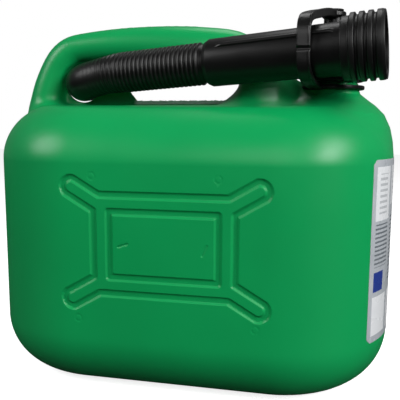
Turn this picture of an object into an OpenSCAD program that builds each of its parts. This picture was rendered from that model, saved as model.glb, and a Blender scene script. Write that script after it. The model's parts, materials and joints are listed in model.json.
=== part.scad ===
// Five-litre blow-moulded fuel can with a flexible pouring spout stowed on it.
// The can stands on Z = 0. +X points to the filler neck, -Y is the side the spout is stowed on.

/* [Can body] */
// Length of the can along X
body_length = 264.6; // [250:1:285]
// Width of the can along Y
body_width = 150; // [140:1:165]
// Height of the tank's top, below the carrying handle
tank_height = 181; // [176:1:183]
// Radius of the upright corners, seen from above
corner_radius = 73; // [60:1:74]
// Radius of the rounded edge round the base
base_edge_radius = 38; // [25:1:42]
// Radius of the rounded shoulder round the top
shoulder_radius = 36; // [30:1:40]
// Wall thickness of the moulding
wall = 2; // [1.6:0.1:2.6]
// Width of the stiffening grooves on the two long faces
groove_width = 5.5; // [4:0.5:7]
// Depth of the stiffening grooves
groove_depth = 0.9; // [0.5:0.1:1.2]

/* [Filler neck and cap] */
// Distance of the neck's axis from the can's middle
neck_x = 92.3; // [90:0.1:94]
// Radius over the neck's thread
neck_radius = 16.4; // [15.8:0.1:16.6]
// Radius of the hole that fuel is poured through
neck_bore_radius = 13; // [11:0.5:14]
// Height of the neck's lip above the ground
neck_top = 218.5; // [214:0.5:219]
// Outer radius of the filler cap
cap_radius = 20.2; // [19.5:0.1:20.6]
// Height of the filler cap without its stem
cap_height = 28.5; // [27:0.5:29]

/* [Spout] */
// Angle that the stowed spout turns away from the can's length
spout_turn = 9; // [8:0.5:10]
// Angle that the stowed spout rises towards the neck
spout_rise = 3.7; // [3.4:0.1:4]
// Radius of the rigid tube where the strap holds it
tube_radius = 14.8; // [14.6:0.1:15]
// Outer radius of the collar nut
nut_radius = 19.5; // [19:0.1:20]
// Outer radius of the corrugated hose
hose_radius = 13.2; // [12.8:0.1:13.4]
// Radius of the hole in the web that holds the hose's tip
tip_hole_radius = 15; // [14.5:0.1:15.4]

/* [Hidden] */
smooth = 96;
coarse = 32;
can_green = [0.07, 0.52, 0.30];
spout_black = [0.09, 0.09, 0.10];
seal_grey = [0.35, 0.35, 0.36];
label_silver = [0.80, 0.82, 0.84];

half_length = body_length / 2;
half_width = body_width / 2;

// Stations of the handle's centre line in the can's middle plane, each [x, z, radius].
handle_path = [[-109.5, 181, 12.5], [-104, 209, 11], [-80, 223, 9.5],
               [8, 218.7, 15], [33, 212, 16], [48, 186, 17]];
handle_wall = 3;
hollow_bulge = 0.4;

// Web under the handle's front end, with the hole for the hose's tip.
web_thickness = 2.6;
web_offset = 0.6;
tip_hole_x = -80;
tip_hole_z = 199.4;

// Groove frame: a rectangle with four arms, and a smaller rectangle inside it.
frame_z = 97.3;
frame_half_x = 42.6;
frame_half_z = 29.7;
panel_half_x = 32.8;
panel_half_z = 19.7;
arm_gap = 6;
arm_reach_x = 21;
arm_reach_z = 12.5;
arm_half_width = 7.5;

// Dome round the neck, as [radius, height] from its rim to its foot.
dome_top = 189.2;
dome_profile = [[17, dome_top], [19.5, 187], [25.6, 182], [33.4, 174.5], [38, 166], [39.8, 156], [39.8, 120]];
ring_bottom = 189.4;
ring_top = 194.2;
ring_radius = 20;
ring_hole_radius = 16.9;

cap_bottom = 195.4;
cap_top = cap_bottom + cap_height;
cap_wall = 3.2;
cap_clearance = 0.4;
cap_flutes = 36;
seal_thickness = 1.5;
stem_radius = 4.9;
stem_head_radius = 6;
strap_top = 240.8;
strap_thickness = 3.2;
strap_width = 8;
stem_top = strap_top + 1.6;

// The spout's own frame: its axis is +X, with its origin beside the neck.
spout_origin = [neck_x, -40.5, 210.9];
nut_back = 5.5;
nut_front = 29.5;
nut_step_radius = 18;
nut_ridges = 4;
nut_ridge_pitch = 4.9;
nut_ridge_start = 10;
nut_seat_radius = 16.9;
nut_thread_radius = 17.2;
nut_thread_start = 15.6;
shaft_radius = 15.3;
shaft_start = -11;
tube_end = -74;
tube_end_radius = 14.5;
tube_bore_radius = 12.7;
tube_chamfer = 4;
flange_back = 10.8;
flange_thickness = 2.5;
flange_radius = 16.6;
gasket_thickness = 2;
rib_angle = 36;
rib_width = 2.4;
rib_height = 1;
rib_start = -66;
rib_end = -4;

// The hose, measured along -X from its pivot just inside the tube's end.
pivot_x = tube_end + 1;
hose_wall = 1.6;
hose_pitch = 3.2;
hose_ridges = 19;
ridge_depth = 1.3;
hose_neck_length = 4.5;
straight_length = hose_neck_length + hose_ridges * hose_pitch;
sweep_radius = 165;
sweep_angle = 9;
elbow_radius = 15;
elbow_angle = 66;
tip_length = 8;
tip_radius = 12.4;
section_step = 0.2;
section_overlap = 0.5;

label_half_width = 46.5;
label_bottom = 39;
label_top = 146.5;
label_thickness = 0.3;

// A disc whose rim is rounded below by base_r and above by top_r, standing on Z = 0.
module corner_disc(radius, height, base_r, top_r) {
    arc = coarse / 4;
    points = concat(
        [[0, 0]],
        [for (i = [0:arc]) let (a = i * 90 / arc)
            [radius - base_r + base_r * sin(a), base_r - base_r * cos(a)]],
        [for (i = [0:arc]) let (a = i * 90 / arc)
            [radius - top_r + top_r * cos(a), height - top_r + top_r * sin(a)]],
        [[0, height]]);
    rotate_extrude($fn = coarse) polygon(points);
}

// The tank's outer shape, drawn smaller by inset on every side.
module tank_shape(inset) {
    r = corner_radius - inset;
    hull()
        for (x = [-1, 1], y = [-1, 1])
            translate([x * (half_length - corner_radius), y * (half_width - corner_radius), inset])
                corner_disc(r, tank_height - 2 * inset, base_edge_radius - inset, shoulder_radius - inset);
}

module handle_ball(station, inset) {
    translate([station[0], 0, station[1]])
        sphere(r = station[2] - inset, $fn = coarse);
}

module handle_shape() {
    for (i = [0:len(handle_path) - 2])
        hull() {
            handle_ball(handle_path[i], 0);
            handle_ball(handle_path[i + 1], 0);
        }
}

// The handle's hollow, as round rods between its stations and slightly larger balls at them.
module handle_hollow() {
    for (i = [0:len(handle_path) - 2]) {
        a = handle_path[i];
        b = handle_path[i + 1];
        r = min(a[2], b[2]) - handle_wall;
        dx = b[0] - a[0];
        dz = b[1] - a[1];
        translate([a[0], 0, a[1]])
            rotate([0, atan2(dx, dz), 0])
                cylinder(r = r, h = norm([dx, dz]), $fn = smooth);
        translate([b[0], 0, b[1]])
            sphere(r = b[2] - handle_wall + hollow_bulge, $fn = smooth);
    }
}

// A straight groove on the front face between two points [x, z], cut to groove_depth.
module groove(a, b) {
    dx = b[0] - a[0];
    dz = b[1] - a[1];
    translate([a[0], -half_width, a[1]])
        rotate([0, -atan2(dz, dx), 0])
            translate([-groove_width / 2, -groove_depth, -groove_width / 2])
                cube([norm([dx, dz]) + groove_width, 2 * groove_depth, groove_width]);
}

module face_grooves() {
    fx = frame_half_x;
    fz = frame_half_z;
    px = panel_half_x;
    pz = panel_half_z;
    translate([0, 0, frame_z]) {
        for (s = [-1, 1]) {
            groove([-px, s * pz], [px, s * pz]);
            groove([s * px, -pz], [s * px, pz]);
            groove([-(fx - arm_gap), s * fz], [fx - arm_gap, s * fz]);
            groove([s * fx, -(fz - arm_gap)], [s * fx, fz - arm_gap]);
        }
        for (sx = [-1, 1], sz = [-1, 1]) {
            outer_x = sx * (fx + arm_reach_x);
            outer_z = sz * (fz + arm_reach_z);
            groove([sx * (fx - arm_gap), sz * fz], [outer_x - sx * arm_half_width, outer_z]);
            groove([sx * fx, sz * (fz - arm_gap)], [outer_x, outer_z - sz * arm_half_width]);
            groove([outer_x - sx * arm_half_width, outer_z], [outer_x, outer_z - sz * arm_half_width]);
        }
    }
}

module handle_web() {
    translate([0, web_offset + web_thickness / 2, 0])
        rotate([90, 0, 0])
            linear_extrude(web_thickness)
                polygon([[-100, 174], [-34, 174], [-38.5, 184], [-56, 204], [-62, 212], [-100, 212]]);
}

module neck_dome() {
    translate([neck_x, 0, 0])
        rotate_extrude($fn = smooth)
            polygon(concat([[0, 120]], [[0, dome_top]], dome_profile));
}

module can_body() {
    color(can_green)
        difference() {
            union() {
                tank_shape(0);
                handle_shape();
                handle_web();
                neck_dome();
            }
            tank_shape(wall);
            handle_hollow();
            translate([neck_x, 0, 150])
                cylinder(r = neck_bore_radius, h = 50, $fn = smooth);
            translate([tip_hole_x, 15, tip_hole_z])
                rotate([90, 0, 0])
                    cylinder(r = tip_hole_radius, h = 30, $fn = smooth);
            face_grooves();
            mirror([0, 1, 0]) face_grooves();
        }
}

// The neck is one moulding with the can, and stands face to face on its dome.
module filler_neck() {
    color(can_green)
        translate([neck_x, 0, dome_top])
            difference() {
                cylinder(r = neck_radius, h = neck_top - dome_top, $fn = smooth);
                translate([0, 0, -1])
                    cylinder(r = neck_bore_radius, h = neck_top - dome_top + 2, $fn = smooth);
            }
}

module filler_cap() {
    inner_radius = neck_radius + cap_clearance;
    color(spout_black)
        translate([neck_x, 0, 0])
            difference() {
                union() {
                    translate([0, 0, cap_bottom])
                        cylinder(r = cap_radius, h = cap_height - 2, $fn = smooth);
                    translate([0, 0, cap_top - 2])
                        cylinder(r1 = cap_radius, r2 = cap_radius - 2, h = 2, $fn = smooth);
                    translate([0, 0, cap_top])
                        cylinder(r = stem_radius, h = stem_top - cap_top, $fn = smooth);
                    translate([0, 0, strap_top + 0.4])
                        cylinder(r = stem_head_radius, h = stem_top - strap_top - 0.4, $fn = smooth);
                }
                translate([0, 0, cap_bottom - 1])
                    cylinder(r = inner_radius, h = neck_top + seal_thickness - cap_bottom + 1, $fn = smooth);
                for (i = [0:cap_flutes - 1])
                    rotate([0, 0, i * 360 / cap_flutes])
                        translate([cap_radius + 0.5, 0, cap_bottom - 1])
                            cylinder(r = 1, h = cap_height - 4, $fn = coarse);
            }
}

module cap_seal() {
    color(seal_grey)
        translate([neck_x, 0, neck_top])
            cylinder(r = neck_radius - 0.4, h = seal_thickness, $fn = smooth);
}

// A short bar of the strap's section, lying across the strap's run.
module strap_bar(p, turn) {
    translate(p)
        rotate([0, 0, turn])
            cube([strap_width, 1, strap_thickness], center = true);
}

module strap_post(p) {
    translate(p)
        cube([strap_width, strap_thickness, 1], center = true);
}

module retaining_strap() {
    leg_x = 75.9;
    leg_y = -56.6;
    top_z = strap_top - strap_thickness / 2;
    color(spout_black) {
        difference() {
            union() {
                translate([neck_x, 0, ring_bottom])
                    cylinder(r = ring_radius, h = ring_top - ring_bottom, $fn = smooth);
                hull() {
                    strap_bar([81, -15, ring_bottom + 2], -10);
                    strap_bar([leg_x, -49, ring_bottom + 2.4], 0);
                }
                translate([neck_x, 0, top_z - 7.5])
                    cylinder(r = 6.4, h = 6.5, $fn = smooth);
                translate([neck_x, 0, strap_top - strap_thickness])
                    cylinder(r = 8, h = strap_thickness, $fn = smooth);
                hull() {
                    strap_bar([leg_x + 1, -46, 231], -12);
                    strap_bar([neck_x - 1.5, -4, top_z], -16);
                }
            }
            translate([neck_x, 0, ring_bottom - 1])
                cylinder(r = ring_hole_radius, h = 8, $fn = smooth);
            translate([neck_x, 0, top_z - 10])
                cylinder(r = stem_radius + cap_clearance, h = 20, $fn = smooth);
        }
        hull() {
            strap_bar([leg_x, -49, ring_bottom + 2.4], 0);
            strap_post([leg_x, leg_y, ring_bottom + 9]);
        }
        hull() {
            strap_post([leg_x, leg_y, ring_bottom + 9]);
            strap_post([leg_x, leg_y, 223]);
        }
        hull() {
            strap_post([leg_x, leg_y, 223]);
            strap_bar([leg_x + 1, -46, 231], -12);
        }
    }
}

// Places a child drawn along +X on the stowed spout's axis.
module on_spout() {
    translate(spout_origin)
        rotate([0, -spout_rise, -spout_turn])
            children();
}

// A cylinder or cone along +X from x = a to x = b.
module x_rod(a, b, r1, r2) {
    translate([a, 0, 0])
        rotate([0, 90, 0])
            cylinder(r1 = r1, r2 = r2, h = b - a, $fn = smooth);
}

module spout_tube() {
    color(spout_black)
        on_spout()
            difference() {
                union() {
                    x_rod(tube_end, tube_end + tube_chamfer, tube_end_radius - 1.1, tube_end_radius);
                    x_rod(tube_end + tube_chamfer, shaft_start, tube_end_radius, tube_radius);
                    x_rod(shaft_start, flange_back + 1, shaft_radius, shaft_radius);
                    x_rod(flange_back, flange_back + flange_thickness, flange_radius, flange_radius);
                    rotate([90 - rib_angle, 0, 0])
                        translate([rib_start, -rib_width / 2, tube_end_radius - 2])
                            cube([rib_end - rib_start, rib_width, rib_height + 3]);
                }
                x_rod(tube_end - 1, flange_back + flange_thickness + 1, tube_bore_radius, tube_bore_radius);
            }
}

module collar_nut() {
    color(spout_black)
        on_spout()
            difference() {
                union() {
                    x_rod(nut_back, nut_front, nut_step_radius, nut_step_radius);
                    for (i = [0:nut_ridges - 1])
                        x_rod(nut_ridge_start + i * nut_ridge_pitch,
                              nut_ridge_start + i * nut_ridge_pitch + nut_ridge_pitch * 0.66,
                              nut_radius, nut_radius);
                }
                x_rod(nut_back - 1, nut_front, shaft_radius + cap_clearance, shaft_radius + cap_clearance);
                x_rod(flange_back - 0.3, nut_front + 1, nut_seat_radius, nut_seat_radius);
                x_rod(nut_thread_start, nut_front + 1, nut_thread_radius, nut_thread_radius);
            }
}

module spout_gasket() {
    start = flange_back + flange_thickness;
    color(seal_grey)
        on_spout()
            difference() {
                x_rod(start, start + gasket_thickness, flange_radius - 0.2, flange_radius - 0.2);
                x_rod(start - 1, start + gasket_thickness + 1, tube_bore_radius, tube_bore_radius);
            }
}

// Outline of the hose's straight part: radius against distance, with its ridges.
function ridge_outline(outer, inner) = [
    for (i = [0:hose_ridges - 1])
        each [[inner, hose_neck_length + i * hose_pitch],
              [outer, hose_neck_length + i * hose_pitch + 0.5],
              [outer, hose_neck_length + i * hose_pitch + 2],
              [inner, hose_neck_length + i * hose_pitch + 2.5]]];

module hose_straight() {
    valley = hose_radius - ridge_depth;
    rotate([0, -90, 0])
        rotate_extrude($fn = smooth)
            polygon(concat(
                [[valley - hose_wall, 0], [valley, 0]],
                ridge_outline(hose_radius, valley),
                [[valley, straight_length], [valley - hose_wall, straight_length]]));
}

// A curved length of hose that starts at the origin heading along -X and turns towards +Y.
module hose_bend(radius, angle, outer, inner) {
    translate([0, radius, 0])
        rotate([0, 0, -90])
            mirror([0, 1, 0])
                rotate_extrude(angle = angle, $fn = smooth)
                    translate([radius, 0])
                        difference() {
                            circle(r = outer, $fn = smooth);
                            circle(r = inner, $fn = smooth);
                        }
}

module past_bend(radius, angle) {
    translate([-radius * sin(angle), radius * (1 - cos(angle)), 0])
        rotate([0, 0, -angle])
            translate([section_overlap, 0, 0])
                children();
}

module corrugated_hose() {
    valley = hose_radius - ridge_depth;
    bore = valley - hose_wall;
    color(spout_black)
        on_spout()
            translate([pivot_x, 0, 0]) {
                hose_straight();
                translate([section_overlap - straight_length, 0, 0]) {
                    hose_bend(sweep_radius, sweep_angle, tip_radius, bore - section_step);
                    past_bend(sweep_radius, sweep_angle) {
                        hose_bend(elbow_radius, elbow_angle, tip_radius - section_step, bore - 2 * section_step);
                        past_bend(elbow_radius, elbow_angle)
                            difference() {
                                x_rod(-tip_length, 0, tip_radius - 1, tip_radius - 2 * section_step);
                                x_rod(-tip_length - 1, 1, bore - 3 * section_step, bore - 3 * section_step);
                            }
                    }
                }
            }
}

module end_label() {
    color(label_silver)
        difference() {
            intersection() {
                tank_shape(-label_thickness);
                translate([half_length - 60, -label_half_width, label_bottom])
                    cube([80, 2 * label_half_width, label_top - label_bottom]);
            }
            tank_shape(0);
        }
}

can_body();
filler_neck();
filler_cap();
cap_seal();
retaining_strap();
spout_tube();
collar_nut();
spout_gasket();
corrugated_hose();
end_label();
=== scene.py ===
"""The looks of a five-litre blow-moulded fuel can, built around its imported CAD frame."""
import json
import math

import bmesh
import bpy
import numpy as np
from mathutils import Matrix, Vector


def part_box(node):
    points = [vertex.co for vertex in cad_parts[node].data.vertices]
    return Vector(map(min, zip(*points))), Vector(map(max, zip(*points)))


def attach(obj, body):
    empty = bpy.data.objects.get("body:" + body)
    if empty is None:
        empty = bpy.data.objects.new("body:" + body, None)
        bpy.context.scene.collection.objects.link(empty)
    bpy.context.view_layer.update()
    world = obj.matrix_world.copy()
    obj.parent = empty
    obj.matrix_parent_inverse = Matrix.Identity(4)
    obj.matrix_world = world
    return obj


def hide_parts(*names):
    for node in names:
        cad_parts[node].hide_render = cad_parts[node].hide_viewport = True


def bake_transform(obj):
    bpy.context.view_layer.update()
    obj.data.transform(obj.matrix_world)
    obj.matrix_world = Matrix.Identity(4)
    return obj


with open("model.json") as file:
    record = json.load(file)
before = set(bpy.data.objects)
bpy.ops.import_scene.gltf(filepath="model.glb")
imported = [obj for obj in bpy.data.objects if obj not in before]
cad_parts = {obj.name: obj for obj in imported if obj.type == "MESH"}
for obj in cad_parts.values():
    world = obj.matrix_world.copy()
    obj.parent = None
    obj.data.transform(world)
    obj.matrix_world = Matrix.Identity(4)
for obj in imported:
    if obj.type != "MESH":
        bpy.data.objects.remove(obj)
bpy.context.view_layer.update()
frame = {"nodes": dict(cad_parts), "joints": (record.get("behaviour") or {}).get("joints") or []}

# Shapes are worked out in millimetres, in the frame's own axes, and become metres in new_piece().
MM = 0.001
JOINTS = {joint["name"]: joint for joint in frame["joints"]}

# ---------------------------------------------------------------- places taken from the frame

HALF_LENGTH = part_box("can_body")[1].x / MM
HALF_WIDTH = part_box("can_body")[1].y / MM
NECK_X = JOINTS["cap_turn"]["pos_m"][0] / MM
SPOUT_AXIS = Vector(JOINTS["spout_draw"]["axis"])
SPOUT_UP = Vector(JOINTS["hose_bend"]["axis"])
SPOUT_SIDE = SPOUT_UP.cross(SPOUT_AXIS)
NUT_MIDDLE = 17
SPOUT_ORIGIN = Vector(JOINTS["nut_spin"]["pos_m"]) / MM - NUT_MIDDLE * SPOUT_AXIS
HOSE_ROOT = Vector(JOINTS["hose_bend"]["pos_m"]) / MM

# ---------------------------------------------------------------- the can, in millimetres

TANK_HEIGHT = 181
CORNER_RADIUS = 73
BASE_EDGE_RADIUS = 38
SHOULDER_RADIUS = 36
SHOULDER_FLATNESS = 0.3
BASE_RECESS = 1.2
NECK_TOP = 218.5
NECK_ROOT_RADIUS = 15.1
NECK_BORE_RADIUS = 13
NECK_COLLAR_STEP = 1.5
NECK_COLLAR_TOP = 195
THREAD_HEIGHT = 1.3
THREAD_PITCH = 4
# The handle's centre line in the middle plane, as [x, z, radius].
HANDLE_PATH = [
    [-109, 179, 12.6], [-105.2, 193.6, 11.8], [-100, 205.6, 11.2], [-95, 213, 11], [-88.8, 218.2, 10.5],
    [-80, 220.8, 10.1], [-57.5, 222, 11.2], [-34.9, 221.7, 12.4], [-12, 220.3, 13.6], [9, 218.7, 13.8],
    [27.5, 216.8, 13], [40, 209.6, 13], [47.5, 199, 14.2], [50.8, 190, 16.5], [52.5, 178, 20],
]
# The ridge that runs from the handle's right leg to the neck.
NECK_BRIDGE = [[50, 189, 12.4], [66, 185.4, 11.6], [82, 181, 10]]
DOME_PROFILE = [[0, 120], [0, 190.2], [17.2, 190.2], [18.2, 187.6], [22.7, 184], [28, 180], [33.4, 174.5],
                [36.8, 166], [37, 158], [33.5, 148], [28, 136], [28, 120]]
WEB_OUTLINE = [[-100, 174], [-34, 174], [-39.5, 183], [-45.6, 190.7], [-55, 203], [-59, 214], [-100, 214]]
WEB_MIDDLE = 0.6
WEB_HALF_THICKNESS = 1.3
TIP_HOLE = (-80.3, 196.6)
TIP_HOLE_RADIUS = 13.3
SCOOP_RADIUS = 14.2
# The rough pinched-off edge along the bottom of the hand opening.
FLASH_ROOT = 176
FLASH_TOP = 184.2
FLASH_HALF_THICKNESS = 1.7
FLASH_ENDS = (-42, 24)
# The tank's top falls by this much from its middle to the edge of its flat part.
TOP_CROWN = 1.5
TOP_HALF_WIDTH = 39
# The parting line's low crest along the handle's top.
SEAM_MIDDLE = -26
SEAM_HEIGHT = 0.28

# The groove frame on the long faces, measured from its own centre.
GROOVE_Z = 97.3
GROOVE_X = -0.8
GROOVE_WIDTH = 4.4
GROOVE_DEPTH = 1.25
OUTER_HALF = (42.6, 29.7)
INNER_HALF = (32.8, 19.7)
# Where an arm leaves the outer rectangle's top and its side.
ARM_FOOT_TOP = (39, OUTER_HALF[1])
ARM_FOOT_SIDE = (OUTER_HALF[0], 20)
ARM_TIP = (56.2, 33.9)
ARM_TIP_RADIUS = 5.3
# Small moulded marks on the front face: rings by their middle, strokes by their ends, as [x, z].
ROUND_MARKS = [(-54, 51), (54, 52), (-44, 138), (32, 137.5)]
STROKE_MARKS = [[(-27.8, 96.2), (-22.2, 98.2)], [(22.8, 93.6), (25.4, 99.4)]]
ROUND_MARK_RADIUS = 2
ROUND_MARK_DEPTH = 0.12
STROKE_MARK_DEPTH = 0.45

# ---------------------------------------------------------------- the fittings, in millimetres

# The hose's centre line: a straight stretch, a slow sweep, a tight elbow and a short tip.
HOSE_STRAIGHT = 65.3
SWEEP = (165, math.radians(9))
ELBOW = (15, math.radians(66))
HOSE_TIP = 6
HOSE_DROOP = 3.4
HOSE_RADIUS = 13.2
HOSE_VALLEY = 11.9
HOSE_TIP_RADIUS = 12.2
HOSE_BORE_RADIUS = 9.9
RIDGE_PITCH = 3.03
RIDGE_START = 7
# The ridges fade out between these distances from the root, and leave a faint trace up to the last one.
RIDGE_FADE = (58, 84)
RIDGE_TRACE_END = 96
# Places along the spout's axis are measured from SPOUT_ORIGIN, towards the nut's mouth.
# TUBE_OVERLAP is how far the tube reaches over the hose.
TUBE_OVERLAP = 3
TUBE_BACK = -74 - TUBE_OVERLAP
TUBE_SHOULDER = -12
TUBE_FLANGE = (10.8, 13.3)
TUBE_BORE_RADIUS = 12.7
RIB_ENDS = (-68, 2)
RIB_HALF_WIDTH = 1.35
RIB_LEAN = math.radians(36)
NUT_ENDS = (5.5, 29.5)
NUT_RIDGE_START, NUT_RIDGE_PITCH, NUT_RIDGES = 10, 4.9, 4
NUT_MOUTH_RADIUS = 17.2
NUT_THREAD_HEIGHT = 1.1
CAP_SKIRT = 195.4
CAP_TOP = 223.9
CAP_BORE_RADIUS = 16.8
CAP_FLUTES = 36
CAP_FLUTE_DEPTH = 0.55
# The strap's middle line, from the neck ring round the spout to the cap's stem.
STRAP_KNOTS = [
    (83, -14, 191.5), (80.6, -34, 192), (78.8, -45, 193.4), (77.4, -51.6, 196), (76.3, -55.6, 200.6),
    (75.9, -56.6, 207), (75.9, -56.6, 214), (75.9, -56.2, 220), (76.2, -53.8, 225), (77.2, -49, 228.2),
    (79, -41, 230.8), (82.6, -28, 234), (87, -14, 236.8), (91.4, -2, 237.6),
]
STRAP_HALF_WIDTH = 4
STRAP_HALF_THICKNESS = 1.5
STRAP_EDGE = 0.6
# The strap's rings round the neck's axis, as (bottom, top, inner radius, outer radius).
STRAP_NECK_RING = (190.3, 192.8, 10, 20.6)
STRAP_SLEEVE = (230.6, 237, 3, 6.3)
STRAP_END_RING = (236, 239.1, 3, 7.6)
STRAP_NECK_HOLE = 16.9
STRAP_STEM_HOLE = 5.4
# A notch across the strap's upright leg, as (y, z, radius).
STRAP_NOTCH = (-58.6, 210, 1.1)
LABEL_HALF_WIDTH = 46.5
LABEL_BOTTOM = 38
LABEL_TOP = 148.2
LABEL_CORNER = 2.5
# How far the film's two sides stand off the moulding.
LABEL_LIFTS = (0.04, 0.24)
# The film's plain blocks and rules, as (front edge, back edge, bottom, top) in y and z.
LABEL_PANELS = [(-43.5, -26, 112, 144), (-43.5, -26, 42, 66), (-22, 42, 120, 144), (-22, 42, 42, 66)]
LABEL_DARK_RULES = [(-43, -27, 84, 110), (-22, 10, 72, 114), (14, 42, 72, 114)]
LABEL_PALE_RULES = [(-40, -30, 116, 140), (-18, 38, 124, 140), (-18, 38, 46, 62)]
LABEL_BLUE_BLOCK = (-43, -32, 69, 81)


# ================================================================ meshes

def new_piece(name, vertices, faces, normals=None):
    """A smooth-shaded mesh object from points in millimetres."""
    mesh = bpy.data.meshes.new(name)
    mesh.from_pydata((np.asarray(vertices, float) * MM).tolist(), [], [list(map(int, f)) for f in faces])
    mesh.shade_smooth()
    if normals is not None:
        mesh.normals_split_custom_set_from_vertices(np.asarray(normals, float).tolist())
    piece = bpy.data.objects.new(name, mesh)
    bpy.context.scene.collection.objects.link(piece)
    return piece


def tidy_mesh(piece, sharp=40):
    """Merges doubled points and turns every face outwards."""
    shape = bmesh.new()
    shape.from_mesh(piece.data)
    bmesh.ops.remove_doubles(shape, verts=shape.verts, dist=1e-6)
    bmesh.ops.recalc_face_normals(shape, faces=shape.faces)
    shape.to_mesh(piece.data)
    shape.free()
    piece.data.shade_smooth()
    piece.data.set_sharp_from_angle(angle=math.radians(sharp))
    return piece


def ring_faces(rows, segments, closed=True):
    """Quads between neighbouring rings of points, and from the last ring to the first if closed."""
    return [(i * segments + k, i * segments + (k + 1) % segments,
             (i + 1) % rows * segments + (k + 1) % segments, (i + 1) % rows * segments + k)
            for i in range(rows if closed else rows - 1) for k in range(segments)]


def moved(points, place):
    """Points moved by a matrix."""
    return points @ np.array(place.to_3x3()).T + np.array(place.translation)


def divided(outline, spacing, closed):
    """The same outline, with extra points for a shape function to move."""
    dense = []
    for a, b in zip(outline, outline[1:] + (outline[:1] if closed else [])):
        parts = max(1, int(math.dist(a, b) / spacing))
        dense += [[a[0] + (b[0] - a[0]) * k / parts, a[1] + (b[1] - a[1]) * k / parts] for k in range(parts)]
    return dense if closed else dense + [outline[-1]]


def rounded(points, radius, steps=3, closed=True):
    """A section's outline with each corner turned into an arc."""
    points = [np.array(p, float) for p in points]
    count = len(points)
    outline = []
    for i, corner in enumerate(points):
        if not closed and i in (0, count - 1):
            outline.append(corner)
            continue
        before, after = points[i - 1] - corner, points[(i + 1) % count] - corner
        lengths = np.linalg.norm(before), np.linalg.norm(after)
        before, after = before / lengths[0], after / lengths[1]
        half_angle = math.acos(np.clip(before @ after, -1, 1)) / 2
        if half_angle > math.radians(85):
            outline.append(corner)
            continue
        reach = min(radius / math.tan(half_angle), 0.45 * min(lengths))
        arc = reach * math.tan(half_angle)
        centre = corner + (before + after) / np.linalg.norm(before + after) * arc / math.sin(half_angle)
        start, end = corner + before * reach - centre, corner + after * reach - centre
        turn = math.atan2(start[0] * end[1] - start[1] * end[0], start @ end)
        for k in range(steps + 1):
            a = turn * k / steps
            outline.append(centre + np.array([start[0] * math.cos(a) - start[1] * math.sin(a),
                                              start[0] * math.sin(a) + start[1] * math.cos(a)]))
    return outline


def lathe(name, outline, place, segments, shape=None, closed=True):
    """Turns an outline of [distance along +X, radius] round the X axis, then moves it to its place."""
    along, radius = np.array(outline, float).T
    angle = np.linspace(0, 2 * math.pi, segments, endpoint=False)
    s, a = np.meshgrid(along, angle, indexing="ij")
    r = np.repeat(radius[:, None], segments, 1)
    if shape is not None:
        r = shape(s, r, a)
    points = np.stack([s, r * np.cos(a), r * np.sin(a)], -1).reshape(-1, 3)
    return tidy_mesh(new_piece(name, moved(points, place), ring_faces(len(along), segments, closed)))


def upright(x, y):
    """Places a lathe's +X axis on a vertical line."""
    return Matrix.Translation((x, y, 0)) @ Matrix.Rotation(-math.pi / 2, 4, "Y")


def on_spout():
    """Places a lathe's +X axis on the spout's axis."""
    turn = Matrix((SPOUT_AXIS, SPOUT_SIDE, SPOUT_UP)).transposed().to_4x4()
    return Matrix.Translation(SPOUT_ORIGIN) @ turn


def join(name, *pieces):
    """Joins overlapping solids into one piece."""
    bpy.ops.object.select_all(action="DESELECT")
    for piece in pieces:
        piece.select_set(True)
    bpy.context.view_layer.objects.active = pieces[0]
    bpy.ops.object.join()
    pieces[0].name = name
    return pieces[0]


# ================================================================ distance fields

def smooth_min(a, b, width):
    """The union of two fields, with a blend of the given width."""
    h = np.clip(0.5 + 0.5 * (b - a) / width, 0, 1)
    return b + (a - b) * h - width * h * (1 - h)


def smooth_max(a, b, width):
    """The overlap of two fields, with a blend of the given width."""
    return -smooth_min(-a, -b, width)


def step(low, high, value):
    """0 below low, 1 above high, and smooth between them."""
    t = np.clip((value - low) / (high - low), 0, 1)
    return t * t * (3 - 2 * t)


def rod_field(p, a, b, radius_a, radius_b):
    """A round rod from a to b, tapering from one radius to the other."""
    a, b = np.array(a, float), np.array(b, float)
    run = b - a
    t = np.clip((p - a) @ run / (run @ run), 0, 1)
    return np.linalg.norm(p - a - t[:, None] * run, axis=1) - radius_a - t * (radius_b - radius_a)


def curve_through(knots, parts):
    """A smooth curve through a list of points, with parts steps between each two."""
    knots = [np.array(knot, float) for knot in knots]
    knots = [2 * knots[0] - knots[1]] + knots + [2 * knots[-1] - knots[-2]]
    curve = []
    for a, b, c, d in zip(knots, knots[1:], knots[2:], knots[3:]):
        for t in np.arange(parts) / parts:
            curve.append(0.5 * (2 * b + (c - a) * t + (2 * a - 5 * b + 4 * c - d) * t ** 2
                                + (3 * b - a - 3 * c + d) * t ** 3))
    return curve + [knots[-2]]


def rods_field(p, knots, radii):
    """A chain of tapering rods from knot to knot."""
    best = np.full(len(p), np.inf)
    for a, b, radius_a, radius_b in zip(knots, knots[1:], radii, radii[1:]):
        best = np.minimum(best, rod_field(p, a, b, radius_a, radius_b))
    return best


def chain_field(p, stations):
    """A chain of tapering rods in the middle plane, through [x, z, radius] stations."""
    return rods_field(p, [(x, 0, z) for x, z, _ in stations], [radius for _, _, radius in stations])


def line_distance(u, v, points, closed):
    """Distance in a plane from (u, v) to a line of points."""
    best = np.full(u.shape, 1e9)
    ends = points[1:] + points[:1] if closed else points[1:]
    for (au, av), (bu, bv) in zip(points, ends):
        du, dv = bu - au, bv - av
        t = np.clip(((u - au) * du + (v - av) * dv) / (du * du + dv * dv), 0, 1)
        best = np.minimum(best, (u - au - t * du) ** 2 + (v - av - t * dv) ** 2)
    return np.sqrt(best)


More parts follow.
